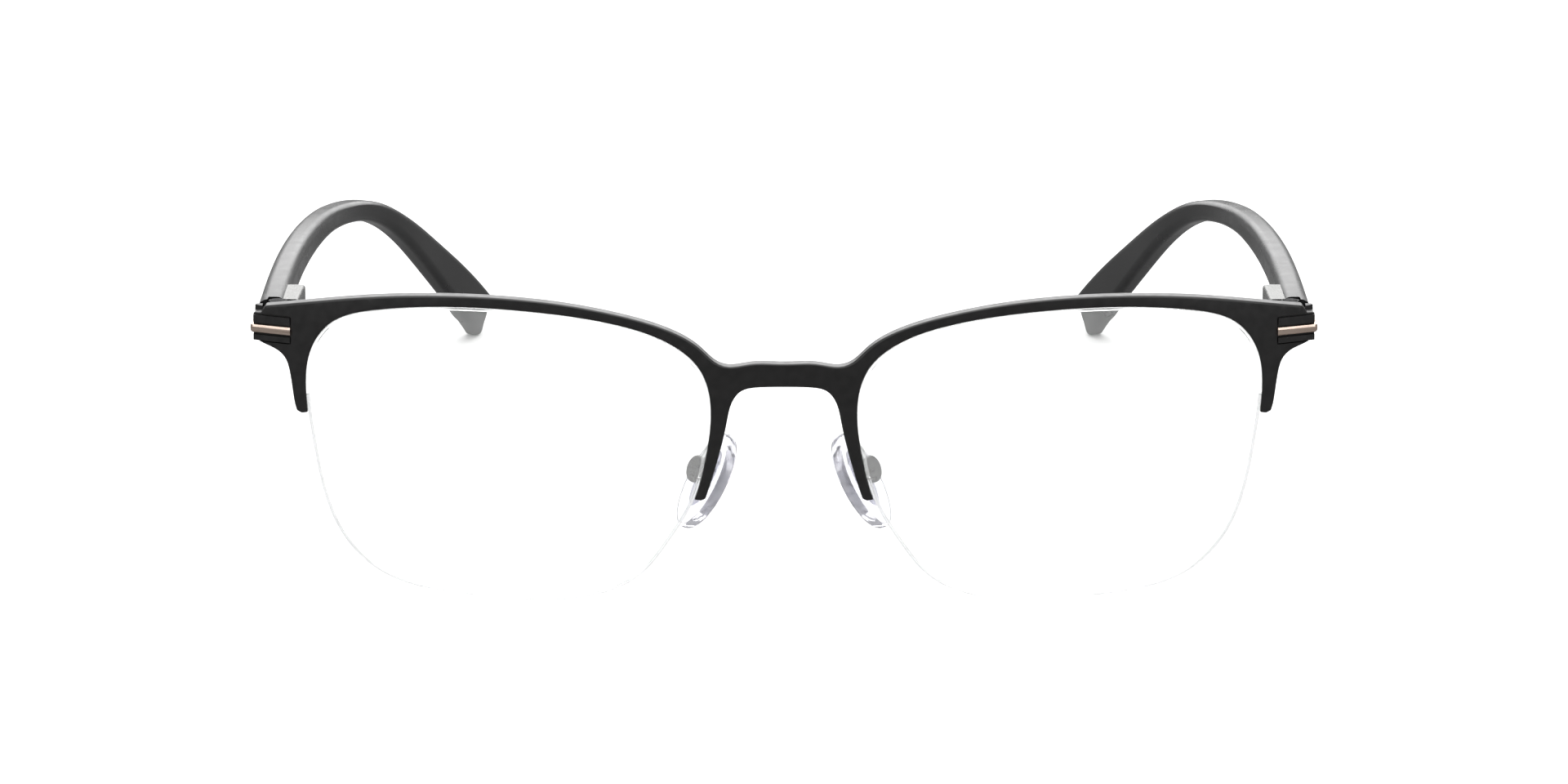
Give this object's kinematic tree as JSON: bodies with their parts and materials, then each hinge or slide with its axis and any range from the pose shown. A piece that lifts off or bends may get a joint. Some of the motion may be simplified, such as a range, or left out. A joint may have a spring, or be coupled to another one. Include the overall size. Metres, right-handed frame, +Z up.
{
  "type": "half rim eyeglasses",
  "caption": "Half-rim eyeglasses: satin black metal brow with bridge and legs, clear lenses on nylon cord, ribbed corners with champagne bars, black spring-hinged temples.",
  "frame": {"origin": "middle of the bounding box, on the surface that the open glasses stand on", "axes": "+X to the wearer's left, +Y from the lenses back to the temple tips, +Z up; left and right are the wearer's own"},
  "size_m": [0.1436, 0.1426, 0.0424],
  "materials": {
    "satin_black_metal": "satin black lacquer on metal",
    "champagne_bar": "brushed champagne-rose plating",
    "clear_lens": "clear, anti-reflection coated",
    "clear_nylon": "clear nylon line",
    "steel": "machined steel",
    "spring_steel": "drawn spring wire",
    "silver_housing": "satin nickel",
    "black_acetate": "polished black acetate",
    "clear_pad": "clear soft silicone",
    "pad_insert_plastic": "clear rigid plastic core"
  },
  "bodies": {
    "front": {"front_frame": "satin_black_metal", "corner_plate_left": "satin_black_metal", "corner_plate_right": "satin_black_metal", "accent_bar_left": "champagne_bar", "accent_bar_right": "champagne_bar", "end_piece_left": "satin_black_metal", "end_piece_right": "satin_black_metal", "front_hinge_left": "satin_black_metal", "front_hinge_right": "satin_black_metal", "hinge_screw_left": "steel", "hinge_screw_right": "steel", "lens_left": "clear_lens", "lens_right": "clear_lens", "rim_liner_left": "clear_nylon", "rim_liner_right": "clear_nylon", "nylon_cord_left": "clear_nylon", "nylon_cord_right": "clear_nylon", "pad_arm_left": "satin_black_metal", "pad_arm_right": "satin_black_metal", "pad_box_left": "satin_black_metal", "pad_box_right": "satin_black_metal", "pad_screw_left": "steel", "pad_screw_right": "steel"},
    "knuckle_left": {"hinge_slider_left": "steel", "spring_collar_left": "steel", "hinge_spring_left": "spring_steel"},
    "temple_left": {"temple_left": "black_acetate", "temple_core_left": "steel", "hinge_housing_left": "silver_housing"},
    "pad_left": {"nose_pad_left": "clear_pad", "pad_insert_left": "pad_insert_plastic"},
    "knuckle_right": {"hinge_slider_right": "steel", "spring_collar_right": "steel", "hinge_spring_right": "spring_steel"},
    "temple_right": {"temple_right": "black_acetate", "temple_core_right": "steel", "hinge_housing_right": "silver_housing"},
    "pad_right": {"nose_pad_right": "clear_pad", "pad_insert_right": "pad_insert_plastic"}
  },
  "joints": [
    {"name": "temple_fold_left", "type": "hinge", "parent": "front", "child": "knuckle_left", "pos_m": [0.0683, -0.058, 0.037], "axis": [0, 0.0785, 0.9969], "range_deg": [-8, 80]},
    {"name": "temple_flex_left", "type": "slide", "parent": "knuckle_left", "child": "temple_left", "axis": [0, 0.9969, -0.0785], "range_m": [0, 0.0008], "stiffness_N_per_m": 500, "springref_m": -0.002, "deforming": ["hinge_spring_left"]},
    {"name": "pad_rock_left", "type": "hinge", "parent": "front", "child": "pad_left", "pos_m": [0.0116, -0.0621, 0.0168], "axis": [-0.4431, -0.866, -0.2316], "range_deg": [-8, 8]},
    {"name": "temple_fold_right", "type": "hinge", "parent": "front", "child": "knuckle_right", "pos_m": [-0.0683, -0.058, 0.037], "axis": [0, -0.0785, -0.9969], "range_deg": [-8, 71]},
    {"name": "temple_flex_right", "type": "slide", "parent": "knuckle_right", "child": "temple_right", "axis": [0, 0.9969, -0.0785], "range_m": [0, 0.0008], "stiffness_N_per_m": 500, "springref_m": -0.002, "deforming": ["hinge_spring_right"]},
    {"name": "pad_rock_right", "type": "hinge", "parent": "front", "child": "pad_right", "pos_m": [-0.0116, -0.0621, 0.0168], "axis": [0.4431, -0.866, -0.2316], "range_deg": [-8, 8]}
  ]
}
